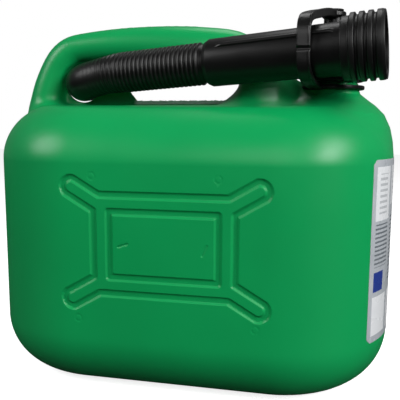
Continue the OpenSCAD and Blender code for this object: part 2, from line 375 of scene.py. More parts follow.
def outline_field(u, v, points):
    """Signed distance in a plane to a closed outline, negative inside."""
    inside = np.zeros(u.shape, bool)
    for (au, av), (bu, bv) in zip(points, points[1:] + points[:1]):
        if av != bv:
            crosses = ((av > v) != (bv > v)) & (u < (bu - au) * (v - av) / (bv - av) + au)
            inside ^= crosses
    return np.where(inside, -1, 1) * line_distance(u, v, points, True)


def tank_field(p):
    """The plain tank: round ends, a round base edge and shoulders."""
    x, y, z = np.abs(p[:, 0]), np.abs(p[:, 1]), p[:, 2]
    dx = x - (HALF_LENGTH - CORNER_RADIUS)
    dy = y - (HALF_WIDTH - CORNER_RADIUS)
    across = np.hypot(np.maximum(dx, 0), np.maximum(dy, 0)) + np.minimum(np.maximum(dx, dy), 0)
    across -= CORNER_RADIUS
    edge = np.where(z > TANK_HEIGHT / 2, SHOULDER_RADIUS, BASE_EDGE_RADIUS)
    side = across + edge
    up = np.abs(z - TANK_HEIGHT / 2) - (TANK_HEIGHT / 2 - edge)
    # The shoulder over the long faces is a flatter slope with a tighter turn at each side of it.
    facing = np.maximum(dy, 0) / np.maximum(np.hypot(np.maximum(dx, 0), np.maximum(dy, 0)), 1e-6)
    power = 2 - SHOULDER_FLATNESS * np.where(z > TANK_HEIGHT / 2, facing, 0) ** 2
    outside_side, outside_up = np.maximum(side, 1e-6), np.maximum(up, 1e-6)
    bend = (outside_side ** power + outside_up ** power) ** (1 / power)
    return np.minimum(np.maximum(side, up), 0) + np.where(np.maximum(side, up) > 0, bend, 0) - edge


def groove_lines():
    """The outer outline, with an arm at each corner, and the inner rectangle."""
    first = math.atan2(ARM_TIP[1] - ARM_FOOT_TOP[1], ARM_TIP[0] - ARM_FOOT_TOP[0]) + math.pi / 2
    last = math.atan2(ARM_TIP[1] - ARM_FOOT_SIDE[1], ARM_TIP[0] - ARM_FOOT_SIDE[0]) - math.pi / 2
    tip = [(ARM_TIP[0] + ARM_TIP_RADIUS * math.cos(first + (last - first) * k / 8),
            ARM_TIP[1] + ARM_TIP_RADIUS * math.sin(first + (last - first) * k / 8)) for k in range(9)]
    corner = [ARM_FOOT_TOP] + tip + [ARM_FOOT_SIDE]
    outer = []
    for sx, sz, points in ((1, 1, corner), (1, -1, corner[::-1]), (-1, -1, corner), (-1, 1, corner[::-1])):
        outer += [(sx * x, sz * z) for x, z in points]
    ix, iz = INNER_HALF
    return outer, [(-ix, -iz), (ix, -iz), (ix, iz), (-ix, iz)]


OUTER_LINE, INNER_LINE = groove_lines()


def groove_distance(p):
    """Distance from a point on a long face to the nearest groove's middle."""
    u, v = p[:, 0] - GROOVE_X, p[:, 2] - GROOVE_Z
    return np.minimum(line_distance(u, v, OUTER_LINE, True), line_distance(u, v, INNER_LINE, True))


def mark_depth(p):
    """The small moulded marks sunk in the front face: two strokes and four faint rings."""
    sunk = np.zeros(len(p))
    front = p[:, 1] < 0
    for x, z in ROUND_MARKS:
        off_ring = np.abs(np.hypot(p[:, 0] - x, p[:, 2] - z) - ROUND_MARK_RADIUS)
        sunk += ROUND_MARK_DEPTH * (1 - step(0.3, 0.9, off_ring))
    for points in STROKE_MARKS:
        sunk += STROKE_MARK_DEPTH * (1 - step(0.2, 1, line_distance(p[:, 0], p[:, 2], points, False)))
    return sunk * front


def near_marks(p):
    """Where the front face needs a fine mesh for its marks."""
    near = [np.hypot(p[:, 0] - x, p[:, 2] - z) < 4 for x, z in ROUND_MARKS]
    near += [line_distance(p[:, 0], p[:, 2], points, False) < 2.5 for points in STROKE_MARKS]
    return np.any(near, axis=0) & (p[:, 1] < 3 - HALF_WIDTH)


def hose_path(s):
    """The hose's centre line at distance s from its root, in the frame, in millimetres."""
    s = np.asarray(s, float)
    back = np.clip(s, None, HOSE_STRAIGHT)
    side = np.zeros_like(s)
    heading, start = 0.0, HOSE_STRAIGHT
    for radius, angle in (SWEEP, ELBOW):
        turn = np.clip((s - start) / radius, 0, angle)
        back = back + radius * (np.sin(heading + turn) - math.sin(heading))
        side = side + radius * (math.cos(heading) - np.cos(heading + turn))
        heading, start = heading + angle, start + radius * angle
    rest = np.maximum(s - start, 0)
    back, side = back + rest * math.cos(heading), side + rest * math.sin(heading)
    droop = HOSE_DROOP * step(HOSE_STRAIGHT, start, s)
    return (np.array(HOSE_ROOT) - back[..., None] * np.array(SPOUT_AXIS)
            + side[..., None] * np.array(SPOUT_SIDE) - droop[..., None] * np.array([0, 0, 1]))


HOSE_LENGTH = HOSE_STRAIGHT + SWEEP[0] * SWEEP[1] + ELBOW[0] * ELBOW[1] + HOSE_TIP


def scoop_field(p):
    """The hollow that the hose's end lies in."""
    knots = hose_path(np.linspace(HOSE_STRAIGHT - 10, HOSE_LENGTH + 4, 9))
    return rods_field(p, knots, [SCOOP_RADIUS] * len(knots))


def thread_height(along, angle, low, high, pitch):
    """A helical thread's height, fading in and out at its two ends."""
    phase = (along / pitch - angle / (2 * math.pi)) % 1
    ridge = step(0.12, 0.34, phase) * (1 - step(0.5, 0.72, phase))
    return ridge * step(low, low + pitch, along) * (1 - step(high - pitch / 2, high, along))


def neck_field(p):
    """The threaded neck, with a plain collar at its foot."""
    dx = p[:, 0] - NECK_X
    r = np.hypot(dx, p[:, 1])
    ridge = thread_height(p[:, 2], np.arctan2(p[:, 1], dx), NECK_TOP - 19, NECK_TOP - 1.5, THREAD_PITCH)
    collar = NECK_COLLAR_STEP * (1 - step(NECK_COLLAR_TOP - 0.8, NECK_COLLAR_TOP, p[:, 2]))
    wall = r - NECK_ROOT_RADIUS - THREAD_HEIGHT * ridge - collar
    return smooth_max(np.maximum(wall, 150 - p[:, 2]), p[:, 2] - NECK_TOP, 0.6)


HANDLE_CURVE = curve_through(HANDLE_PATH, 3)


def tank_part(p, details):
    """The tank with its grooves and marks, crowned top and recessed base."""
    x, y, z = p.T
    tank = tank_field(p)
    if details:
        on_face = step(HALF_WIDTH - 8, HALF_WIDTH - 4, np.abs(y))
        groove = 1 - step(GROOVE_WIDTH / 2 - 1.2, GROOVE_WIDTH / 2 + 0.4, groove_distance(p))
        tank = tank + (GROOVE_DEPTH * groove + mark_depth(p)) * on_face
    crown = z - TANK_HEIGHT + TOP_CROWN * np.minimum(y / TOP_HALF_WIDTH, 1.2) ** 2
    tank = smooth_max(tank, crown, 1.2)
    under = step(-44, -40, tank_field(np.stack([x, y, np.full_like(z, TANK_HEIGHT / 2)], 1)))
    return tank + BASE_RECESS * (1 - under) * (1 - step(1, 6, z))


def flash_field(p, details):
    """The pinched-off edge along the bottom of the hand opening, thinner and rougher at its top."""
    x, y, z = p.T
    rough = 0.3 * np.sin(x * 1.3) * np.sin(x * 0.47) + 0.15 * np.sin(x * 2.9 + 1) if details else 0
    taper = 0.16 * np.maximum(z - TANK_HEIGHT, 0) if details else 0
    flash = np.maximum(np.abs(y) - FLASH_HALF_THICKNESS + taper, z - FLASH_TOP - rough)
    flash = np.maximum(flash, np.abs(x - sum(FLASH_ENDS) / 2) - (FLASH_ENDS[1] - FLASH_ENDS[0]) / 2)
    return smooth_max(flash, FLASH_ROOT - z, 1)


def seam_height(p):
    """The parting line's low, uneven crest along the handle's top."""
    x, y, z = p.T
    away = step(0.5, 1.1, np.abs(y)) + step(30, 38, np.abs(x - SEAM_MIDDLE))
    bumps = 0.5 + 0.3 * np.sin(x * 0.95) + 0.2 * np.sin(x * 0.41 + 2)
    return SEAM_HEIGHT * np.clip(1 - away, 0, 1) * step(225, 228, z) * bumps


def can_field(p, details=True):
    """The whole can: tank, handle, web, neck dome and neck, melted into one moulding."""
    x, y, z = p.T
    dome = outline_field(np.hypot(x - NECK_X, y), z, DOME_PROFILE)
    handle = smooth_min(chain_field(p, HANDLE_CURVE), chain_field(p, NECK_BRIDGE), 8)
    web = smooth_max(outline_field(x, z, WEB_OUTLINE), np.abs(y - WEB_MIDDLE) - WEB_HALF_THICKNESS, 1)
    hole = np.hypot(x - TIP_HOLE[0], z - TIP_HOLE[1]) - TIP_HOLE_RADIUS
    body = smooth_min(tank_part(p, details), dome, 7)
    # The right leg and the bridge flare out into the tank more widely than the left leg.
    flare = 9 + 17 * step(8, 26, x) * (1 - step(58, 74, x))
    body = smooth_min(body, handle, flare)
    body = smooth_max(body, -scoop_field(p), 3)
    body = smooth_min(body, web, 3)
    body = smooth_max(body, -np.maximum(hole, np.abs(y) - 20), 1)
    body = smooth_min(body, flash_field(p, details), 0.8)
    if details:
        body = body - seam_height(p)
    body = smooth_min(body, neck_field(p), 1.2)
    bore = np.maximum(np.hypot(x - NECK_X, y) - NECK_BORE_RADIUS, 172 - z)
    return smooth_max(body, -bore, 0.6)


def net(field, low, high, spacing):
    """Surface-nets mesh of a field's zero surface: points and quads."""
    axes = [np.arange(a, b + spacing, spacing) for a, b in zip(low, high)]
    shape = tuple(len(a) for a in axes)
    grid = np.stack(np.meshgrid(*axes, indexing="ij"), -1).reshape(-1, 3)
    value = np.concatenate([field(part) for part in np.array_split(grid, 16)]).reshape(shape)
    inside = value < 0
    cells = tuple(n - 1 for n in shape)
    total, count = np.zeros(cells + (3,)), np.zeros(cells)
    for axis in range(3):
        others = [k for k in range(3) if k != axis]
        for i in (0, 1):
            for j in (0, 1):
                start = [slice(None)] * 3
                start[axis] = slice(0, cells[axis])
                start[others[0]] = slice(i, i + cells[others[0]])
                start[others[1]] = slice(j, j + cells[others[1]])
                end = list(start)
                end[axis] = slice(1, 1 + cells[axis])
                a, b = value[tuple(start)], value[tuple(end)]
                hit = (a < 0) != (b < 0)
                t = np.where(hit, a / np.where(hit, a - b, 1), 0)
                spot = np.zeros(cells + (3,))
                spot[..., axis], spot[..., others[0]], spot[..., others[1]] = t, i, j
                total += spot * hit[..., None]
                count += hit
    used = count > 0
    index = np.full(cells, -1)
    index[used] = np.arange(used.sum())
    corner = np.stack(np.nonzero(used), -1)
    points = np.array(low) + spacing * (corner + total[used] / count[used][:, None])
    quads = []
    for axis in range(3):
        one, two = (axis + 1) % 3, (axis + 2) % 3
        inner = [slice(1, n - 1) for n in shape]
        inner[axis] = slice(0, cells[axis])
        after = list(inner)
        after[axis] = slice(1, shape[axis])
        a, b = inside[tuple(inner)], inside[tuple(after)]
        for flip, hit in ((False, a & ~b), (True, b & ~a)):
            spot = np.stack(np.nonzero(hit), -1)
            spot[:, one] += 1
            spot[:, two] += 1
            ring = []
            for i, j in ((0, 0), (-1, 0), (-1, -1), (0, -1)):
                cell = spot.copy()
                cell[:, one] += i
                cell[:, two] += j
                ring.append(index[tuple(cell.T)])
            quads.append(np.stack(ring[::-1] if flip else ring, -1))
    return points, np.concatenate(quads)


def gradient(field, points, reach=0.04):
    """A field's slope at each point, by central differences."""
    slopes = []
    for axis in range(3):
        shift = np.zeros(3)
        shift[axis] = reach
        slopes.append((field(points + shift) - field(points - shift)) / (2 * reach))
    return np.stack(slopes, -1)


def settle(field, points, rounds=4, most=1.2):
    """Moves points onto a field's zero surface and returns them with their normals."""
    for _ in range(rounds):
        slope = gradient(field, points)
        away = field(points) / np.maximum((slope ** 2).sum(1), 0.2)
        points = points - np.clip(away, -most, most)[:, None] * slope
    slope = gradient(field, points)
    return points, slope / np.linalg.norm(slope, axis=1)[:, None]


def refined(points, faces, wanted):
    """Splits each face whose middle wanted() picks, and its edges, in half."""
    shape = bmesh.new()
    handles = [shape.verts.new(p) for p in points.tolist()]
    for face in faces:
        shape.faces.new([handles[i] for i in face])
    middles = np.array([f.calc_center_median()[:] for f in shape.faces])
    chosen = wanted(middles)
    edges = {e for f, take in zip(shape.faces, chosen) if take for e in f.edges}
    bmesh.ops.subdivide_edges(shape, edges=list(edges), cuts=1, use_grid_fill=True)
    shape.verts.index_update()
    points = np.array([v.co[:] for v in shape.verts])
    faces = [[v.index for v in f.verts] for f in shape.faces]
    shape.free()
    return points, faces


# ================================================================ materials

def new_material(name):
    """A material, with its nodes, its links and its main shader."""
    material = bpy.data.materials.new(name)
    material.use_nodes = True
    nodes = material.node_tree.nodes
    return material, nodes, material.node_tree.links, nodes["Principled BSDF"]


def noise(nodes, links, scale, detail=2.0):
    """A noise texture in the object's own coordinates."""
    texture = nodes.new("ShaderNodeTexNoise")
    texture.inputs["Scale"].default_value = scale
    texture.inputs["Detail"].default_value = detail
    links.new(nodes.new("ShaderNodeTexCoord").outputs["Object"], texture.inputs["Vector"])
    return texture.outputs["Fac"]


def ramp(nodes, links, value, stops):
    """A colour ramp through (position, colour) stops."""
    node = nodes.new("ShaderNodeValToRGB")
    while len(node.color_ramp.elements) < len(stops):
        node.color_ramp.elements.new(0.5)
    for element, (position, colour) in zip(node.color_ramp.elements, stops):
        element.position = position
        element.color = (*colour, 1)
    links.new(value, node.inputs["Fac"])
    return node.outputs["Color"]


def spread(nodes, links, value, low, high):
    """Maps 0..1 to low..high."""
    node = nodes.new("ShaderNodeMapRange")
    node.inputs["To Min"].default_value = low
    node.inputs["To Max"].default_value = high
    links.new(value, node.inputs["Value"])
    return node.outputs["Result"]


def maths(nodes, links, kind, a, b=0.0):
    """A maths node on two sockets or numbers."""
    node = nodes.new("ShaderNodeMath")
    node.operation = kind
    for socket, value in zip(node.inputs, (a, b)):
        if isinstance(value, (int, float)):
            socket.default_value = value
        else:
            links.new(value, socket)
    return node.outputs["Value"]


def blended(nodes, links, factor, under, over):
    """A colour, or a socket of colours, with a plain colour over it where factor is 1."""
    node = nodes.new("ShaderNodeMix")
    node.data_type = "RGBA"
    links.new(factor, node.inputs["Factor"])
    if isinstance(under, tuple):
        node.inputs[6].default_value = (*under, 1)
    else:
        links.new(under, node.inputs[6])
    node.inputs[7].default_value = (*over, 1)
    return node.outputs[2]


def add_skin(nodes, links, shader, scale, detail, strength, distance):
    """Fine unevenness of a surface, as bump from noise."""
    skin = nodes.new("ShaderNodeBump")
    skin.inputs["Strength"].default_value = strength
    skin.inputs["Distance"].default_value = distance
    links.new(noise(nodes, links, scale, detail), skin.inputs["Height"])
    links.new(skin.outputs["Normal"], shader.inputs["Normal"])


def moulded_plastic(name, dark, light, roughness, grain, bump=0.08, subsurface=0.0, gloss_level=0.35):
    """Moulded plastic: slow colour drift, uneven gloss and a fine orange-peel skin."""
    material, nodes, links, shader = new_material(name)
    drift = noise(nodes, links, 14, 3)
    links.new(ramp(nodes, links, drift, [(0.3, dark), (0.7, light)]), shader.inputs["Base Color"])
    gloss = noise(nodes, links, 60, 4)
    links.new(spread(nodes, links, gloss, roughness - 0.05, roughness + 0.07), shader.inputs["Roughness"])
    add_skin(nodes, links, shader, grain, 3, bump, 0.0004)
    shader.inputs["Specular IOR Level"].default_value = gloss_level
    shader.inputs["Subsurface Weight"].default_value = subsurface
    shader.inputs["Subsurface Radius"].default_value = (0.4, 1.0, 0.6)
    shader.inputs["Subsurface Scale"].default_value = 0.003
    return material


def paint(piece, material):
    """Gives a piece its one material."""
    piece.data.materials.clear()
    piece.data.materials.append(material)


# ================================================================ camera, floor and light

CAMERA_AZIMUTH = math.radians(12.45)
CAMERA_PITCH = math.radians(7.65)
CAMERA_ROLL = math.radians(0.24)
CAMERA_PLACE = (89.9, -384.3, 168.4)
CAMERA_LENS = 51.03
# How bright the room is in front of the can and behind it, and as the camera sees it.
ROOM_FRONT, ROOM_BACK, BACKDROP = 0.07, 0.14, 1.0
# The floor's grey as it lights the can, its grey as the camera sees it, and its glow for the camera.
FLOOR_BOUNCE, FLOOR_SHOWN, FLOOR_GLOW = 0.02, 0.9, 0.8
FLOOR_HALF_WIDTH = 3000
LIGHT_TARGET = (0, 0, 0.12)
# Each light's name, place and width in metres, and power in watts.
LIGHTS = [
    ("top", (0.05, 0.35, 1.05), 0.5, 1.8),
    ("front", (0.1, -0.65, 0.48), 0.45, 1.15),
    ("right_top", (0.8, -0.35, 0.75), 0.45, 4.5),
    ("right_front", (0.95, -0.65, 0.6), 0.5, 7.5),
    ("left_top", (-0.8, -0.5, 0.7), 0.5, 5),
]


def build_camera():
    """The camera, right of the front and a little above level."""
    forward = Vector((-math.sin(CAMERA_AZIMUTH) * math.cos(CAMERA_PITCH),
                      math.cos(CAMERA_AZIMUTH) * math.cos(CAMERA_PITCH), -math.sin(CAMERA_PITCH)))
    right = Vector((math.cos(CAMERA_AZIMUTH), math.sin(CAMERA_AZIMUTH), 0))
    up = right.cross(forward)
    right, up = (math.cos(CAMERA_ROLL) * right + math.sin(CAMERA_ROLL) * up,
                 math.cos(CAMERA_ROLL) * up - math.sin(CAMERA_ROLL) * right)
    data = bpy.data.cameras.new("camera")
    data.lens = CAMERA_LENS
    data.sensor_width = 36
    data.clip_start = 0.01
    camera = bpy.data.objects.new("camera", data)
    camera.matrix_world = (Matrix.Translation(Vector(CAMERA_PLACE) * MM)
                           @ Matrix((right, up, -forward)).transposed().to_4x4())
    bpy.context.scene.collection.objects.link(camera)
    bpy.context.scene.camera = camera


def area_light(name, place, size, power):
    """A round soft light that faces the can."""
    data = bpy.data.lights.new(name, "AREA")
    data.shape = "DISK"
    data.size = size
    data.energy = power
    light = bpy.data.objects.new(name, data)
    light.location = place
    light.rotation_euler = (Vector(LIGHT_TARGET) - Vector(place)).to_track_quat("-Z", "Y").to_euler()
    bpy.context.scene.collection.objects.link(light)


def build_room():
    """A backdrop that shows white, and lights the can like a white wall behind it and a dim room in front."""
    world = bpy.data.worlds.new("studio")
    bpy.context.scene.world = world
    world.use_nodes = True
    nodes, links = world.node_tree.nodes, world.node_tree.links
    place = nodes.new("ShaderNodeSeparateXYZ")
    links.new(nodes.new("ShaderNodeTexCoord").outputs["Generated"], place.inputs["Vector"])
    room = nodes.new("ShaderNodeMapRange")
    for socket, value in (("From Min", -0.2), ("From Max", 0.9), ("To Min", ROOM_FRONT), ("To Max", ROOM_BACK)):
        room.inputs[socket].default_value = value
    links.new(place.outputs["Y"], room.inputs["Value"])
    shown = nodes.new("ShaderNodeMix")
    shown.inputs["B"].default_value = BACKDROP
    links.new(room.outputs["Result"], shown.inputs["A"])
    links.new(nodes.new("ShaderNodeLightPath").outputs["Is Camera Ray"], shown.inputs["Factor"])
    links.new(shown.outputs["Result"], nodes["Background"].inputs["Strength"])
    nodes["Background"].inputs["Color"].default_value = (1, 1, 1, 1)
    bpy.context.scene.view_settings.view_transform = "Standard"


def build_floor():
    """A floor that shows nearly white, and throws little light back at the can."""
    floor = new_piece("floor", [(x * FLOOR_HALF_WIDTH, y * FLOOR_HALF_WIDTH, 0) for x, y in
                                ((-1, -1), (1, -1), (1, 1), (-1, 1))], [(0, 1, 2, 3)])
    material, nodes, links, shader = new_material("pale_floor")
    seen = nodes.new("ShaderNodeLightPath").outputs["Is Camera Ray"]
    shade = blended(nodes, links, seen, (FLOOR_BOUNCE,) * 3, (FLOOR_SHOWN,) * 3)
    links.new(shade, shader.inputs["Base Color"])
    shader.inputs["Roughness"].default_value = 0.7
    shader.inputs["Emission Color"].default_value = (1, 1, 1, 1)
    links.new(maths(nodes, links, "MULTIPLY", seen, FLOOR_GLOW), shader.inputs["Emission Strength"])
    paint(floor, material)


# ================================================================ pieces

def near_groove(p):
    """Where the long faces need a fine mesh for the grooves' slopes."""
    return (np.abs(p[:, 1]) > HALF_WIDTH - 3) & (groove_distance(p) < GROOVE_WIDTH / 2 + 1.5)


def upper_part(p):
    """The handle, web, window, neck and dome, where the shape turns tightly."""
    return (p[:, 2] > TANK_HEIGHT - 4) | ((np.hypot(p[:, 0] - NECK_X, p[:, 1]) < 26) & (p[:, 2] > 165))


def finest_part(p):
    """The neck's thread, the tip hole's rim, the flash under the window and the seam on the handle."""
    x, y, z = p.T
    neck = (np.hypot(x - NECK_X, y) < 18) & (z > NECK_TOP - 23)
    hole = (np.abs(np.hypot(x - TIP_HOLE[0], z - TIP_HOLE[1]) - TIP_HOLE_RADIUS) < 2.5) & (np.abs(y) < 8)
    flash = (np.abs(y) < 4) & (z > TANK_HEIGHT - 1) & (z < TANK_HEIGHT + 5) & (x > -45) & (x < 32)
    seam = (np.abs(y) < 1.5) & (z > 228) & (np.abs(x - SEAM_MIDDLE) < 38)
    return neck | hole | flash | seam


def pale_flash_with_painted_light(material):
    """Makes the pinched-off edge under the hand opening pale: partly its own whitish plastic, partly painted light
    that brightens it where the hose's shadow falls.
    """
    nodes, links = material.node_tree.nodes, material.node_tree.links
    shader = nodes["Principled BSDF"]
    place = nodes.new("ShaderNodeSeparateXYZ")
    links.new(nodes.new("ShaderNodeTexCoord").outputs["Object"], place.inputs["Vector"])
    x, z = place.outputs["X"], place.outputs["Z"]
    off_middle = maths(nodes, links, "ABSOLUTE", place.outputs["Y"])
    mask = spread(nodes, links, noise(nodes, links, 700, 2), 0.6, 1.0)
    for value, none, full in ((z, TANK_HEIGHT + 0.2, TANK_HEIGHT + 1.4), (z, FLASH_TOP + 1.4, FLASH_TOP + 0.8),
                              (x, FLASH_ENDS[0] - 1, FLASH_ENDS[0] + 3), (x, FLASH_ENDS[1] + 1, FLASH_ENDS[1] - 3),
                              (off_middle, 2.2, 1.8)):
        ease = nodes.new("ShaderNodeMapRange")
        ease.interpolation_type = "SMOOTHSTEP"
        ease.inputs["From Min"].default_value = none * MM
        ease.inputs["From Max"].default_value = full * MM
        links.new(value, ease.inputs["Value"])
        mask = maths(nodes, links, "MULTIPLY", mask, ease.outputs["Result"])
    plain = shader.inputs["Base Color"].links[0].from_socket
    # Painted light: this flash colour is brighter than the trimmed plastic's own whitish tone, so the strip shows
    # pale in the shadow under the hose.
    links.new(blended(nodes, links, mask, plain, (0.6, 0.8, 0.68)), shader.inputs["Base Color"])


def plain_can_field(p):
    """The can without its grooves, marks, rough edge and seam."""
    return can_field(p, False)


def build_can():
    """The can, meshed finely only where its shape turns tightly."""
    low = (-HALF_LENGTH - 4, -HALF_WIDTH - 3.75, -4)
    high = (HALF_LENGTH + 4, HALF_WIDTH + 3.75, 242)
    points, faces = net(plain_can_field, low, high, 2.5)
    points, _ = settle(plain_can_field, points, 2)
    points, faces = refined(points, faces, lambda p: near_groove(p) | near_marks(p) | upper_part(p))
    points, faces = refined(points, faces, lambda p: near_groove(p) | near_marks(p) | finest_part(p))
    points, normals = settle(can_field, points, 5)
    can = new_piece("can", points, faces, normals)
    green = moulded_plastic("green_polyethylene", (0.0025, 0.31, 0.082), (0.003, 0.34, 0.09),
                            0.33, 900, 0.06, 0.04, 0.32)
    pale_flash_with_painted_light(green)
    paint(can, green)
    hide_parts("can_body", "filler_neck")
    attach(can, "can")


def black_plastic(name, roughness, level=0.003):
    """Black plastic, level being its grey."""
    return moulded_plastic(name, (level,) * 3, (level * 1.25,) * 3, roughness, 1400, 0.1)


def build_cap():
    """The cap with its fluted grip, and the stem that the strap sits on."""
    outline = rounded([[CAP_SKIRT, CAP_BORE_RADIUS], [CAP_SKIRT, 20], [CAP_TOP - 2.2, 20.2], [CAP_TOP, 18],
                       [CAP_TOP, 5.2], [CAP_TOP + 15.4, 5.2], [CAP_TOP + 16, 6], [CAP_TOP + 16.8, 6]],
                      0.6, closed=False)
    ceiling = CAP_SKIRT + 24.6
    outline = [[ceiling, 0], [ceiling, CAP_BORE_RADIUS]] + outline + [[CAP_TOP + 17, 0]]

    def flutes(s, r, a):
        grip = step(CAP_SKIRT + 1, CAP_SKIRT + 3, s) * (1 - step(CAP_TOP - 5, CAP_TOP - 3.5, s))
        grip = grip * step(19.4, 19.8, r)
        return r - CAP_FLUTE_DEPTH * grip * (0.5 - 0.5 * np.cos(a * CAP_FLUTES)) ** 2

    cap = lathe("screw_cap", divided(outline, 1.2, False), upright(NECK_X, 0), 288, flutes, False)
    paint(cap, black_plastic("black_cap", 0.42))
    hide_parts("filler_cap")
    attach(cap, "cap")


STRAP_ROUTE = np.array(curve_through(STRAP_KNOTS, 5))


def unit(rows):
    """Each row at length one."""
    return rows / np.linalg.norm(rows, axis=-1, keepdims=True)


def band_field(p, route, half_width, half_thickness, edge):
    """A flat band with rounded edges along a route, with a bead near one edge of its outer face."""
    run = unit(np.gradient(route, axis=0))
    lean = step(0.62, 0.86, np.linspace(0, 1, len(route)))
    side = np.stack([np.ones(len(route)), 0.06 - 0.28 * lean, np.zeros(len(route))], -1)
    side = unit(side - (side * run).sum(1)[:, None] * run)
    frames = np.stack([route, run, side, np.cross(run, side)], 1)
    best, spot = np.full(len(p), 1e9), np.zeros((len(p), 4, 3))
    for a, b in zip(frames, frames[1:]):
        length = b[0] - a[0]
        t = np.clip((p - a[0]) @ length / (length @ length), 0, 1)[:, None]
        away = ((p - a[0] - t * length) ** 2).sum(1)
        nearer = away < best
        best = np.where(nearer, away, best)
        spot[nearer] = a + t[nearer][:, None] * (b - a)
    q = p - spot[:, 0]
    along, across, off = ((q * spot[:, k]).sum(1) for k in (1, 2, 3))
    bead = 0.45 * (1 - step(0, 0.9, np.abs(across - half_width + 1)))
    thicker = 0.7 * step(225, 231, p[:, 2])
    parts = np.abs(np.stack([along, across, off], 1)) - np.array([0, half_width, half_thickness]) + edge
    parts[:, 0] -= edge
    parts[:, 2] -= bead + thicker
    return np.linalg.norm(np.maximum(parts, 0), axis=1) + np.minimum(parts[:, 1:].max(1), 0) - edge


def ring_field(p, low, high, inner, outer, edge=STRAP_EDGE):
    """A flat ring round the neck's axis, with rounded edges."""
    r = np.hypot(p[:, 0] - NECK_X, p[:, 1])
    across = np.abs(r - (inner + outer) / 2) - (outer - inner) / 2 + edge
    up = np.abs(p[:, 2] - (low + high) / 2) - (high - low) / 2 + edge
    return np.hypot(np.maximum(across, 0), np.maximum(up, 0)) + np.minimum(np.maximum(across, up), 0) - edge


def strap_field(p):
    """The strap: a band from the neck ring to the ring and sleeve on the cap's stem."""
    x, y, z = p.T
    r = np.hypot(x - NECK_X, y)
    strap = band_field(p, STRAP_ROUTE, STRAP_HALF_WIDTH, STRAP_HALF_THICKNESS, STRAP_EDGE)
    notch = np.hypot(y - STRAP_NOTCH[0], z - STRAP_NOTCH[1]) - STRAP_NOTCH[2]
    strap = smooth_max(strap, -notch, 0.4)
    strap = smooth_min(strap, ring_field(p, *STRAP_NECK_RING), 1.5)
    stem_end = smooth_min(ring_field(p, *STRAP_SLEEVE), ring_field(p, *STRAP_END_RING), 1)
    strap = smooth_min(strap, stem_end, 1)
    strap = smooth_max(strap, -np.maximum(r - STRAP_NECK_HOLE, z - 200), 0.5)
    return smooth_max(strap, -np.maximum(r - STRAP_STEM_HOLE, 220 - z), 0.4)


def build_strap():
    """The retaining strap, moulded with its two rings."""
    points, faces = net(strap_field, (70, -60, 187.5), (115, 22, 241), 0.8)
    points, normals = settle(strap_field, points, 4, 0.6)
    strap = new_piece("cap_strap", points, faces, normals)
    paint(strap, black_plastic("black_strap", 0.34, 0.002))
    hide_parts("retaining_strap")
    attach(strap, "can")


def build_rib():
    """The rib along the tube, with a slope at each end."""
    start, end = RIB_ENDS
    half = RIB_HALF_WIDTH
    profile = [(-half, -1.6), (-half, 0.7), (-half * 0.65, 1.1), (half * 0.65, 1.1), (half, 0.7), (half, -1.6)]
    out, across = (-math.cos(RIB_LEAN), math.sin(RIB_LEAN)), (math.sin(RIB_LEAN), math.cos(RIB_LEAN))
    stations = np.linspace(start, end, 35)
    points = []
    for s in stations:
        full = float(step(start, start + 2.5, s) * (1 - step(end - 2, end, s)))
        base = 14.5 + 0.3 * (s - TUBE_BACK) / (TUBE_SHOULDER - TUBE_BACK)
        base += 0.5 * float(step(TUBE_SHOULDER, TUBE_SHOULDER + 1.2, s))
        for u, v in profile:
            height = base + (v if v < 0 else v * full)
            points.append((s, out[0] * height + across[0] * u, out[1] * height + across[1] * u))
    count = len(profile)
    faces = ring_faces(len(stations), count, False)
    faces += [tuple(range(count)), tuple(range(len(points) - count, len(points)))]
    return tidy_mesh(new_piece("rib", moved(np.array(points), on_spout()), faces), 50)


def build_tube():
    """The rigid spout tube, turned on its axis, with its rib."""
    bore, shoulder, (flange, front) = TUBE_BORE_RADIUS, TUBE_SHOULDER, TUBE_FLANGE
    outline = rounded([[TUBE_BACK, bore], [TUBE_BACK, 13.1], [TUBE_BACK + 2.8, 14.5], [shoulder, 14.8],
                       [shoulder + 1.2, 15.3], [flange, 15.3], [flange, 16.6], [front, 16.6], [front, bore]], 0.35)
    tube = join("spout_barrel", lathe("spout_barrel", outline, on_spout(), 128), build_rib())
    paint(tube, black_plastic("black_barrel", 0.33))
    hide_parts("spout_tube")
    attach(tube, "spout")


def build_nut():
    """The collar nut, ridged outside and threaded inside its mouth."""
    start, end = NUT_ENDS
    seat, lip, pitch = 15.6, 10.4, NUT_RIDGE_PITCH
    points = [[start, 15.8], [start, 18]]
    for i in range(NUT_RIDGES):
        left = NUT_RIDGE_START + i * pitch
        points += [[left, 18], [left + 0.5, 19.5], [left + pitch * 0.62, 19.5], [left + pitch * 0.74, 18]]
    points = points[:-1] + [[end, 19], [end, NUT_MOUTH_RADIUS], [seat, NUT_MOUTH_RADIUS], [seat, 16.9],
                            [lip, 16.9], [lip, 15.8]]

    def inner_thread(s, r, a):
        wall = (np.abs(r - NUT_MOUTH_RADIUS) < 0.05) * 1.0
        return r - NUT_THREAD_HEIGHT * wall * thread_height(s, a, seat - 0.1, end - 1, THREAD_PITCH)

    nut = lathe("collar_ring", divided(rounded(points, 0.5), 0.8, True), on_spout(), 144, inner_thread)
    paint(nut, black_plastic("black_collar", 0.4))
    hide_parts("collar_nut")
    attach(nut, "nut")


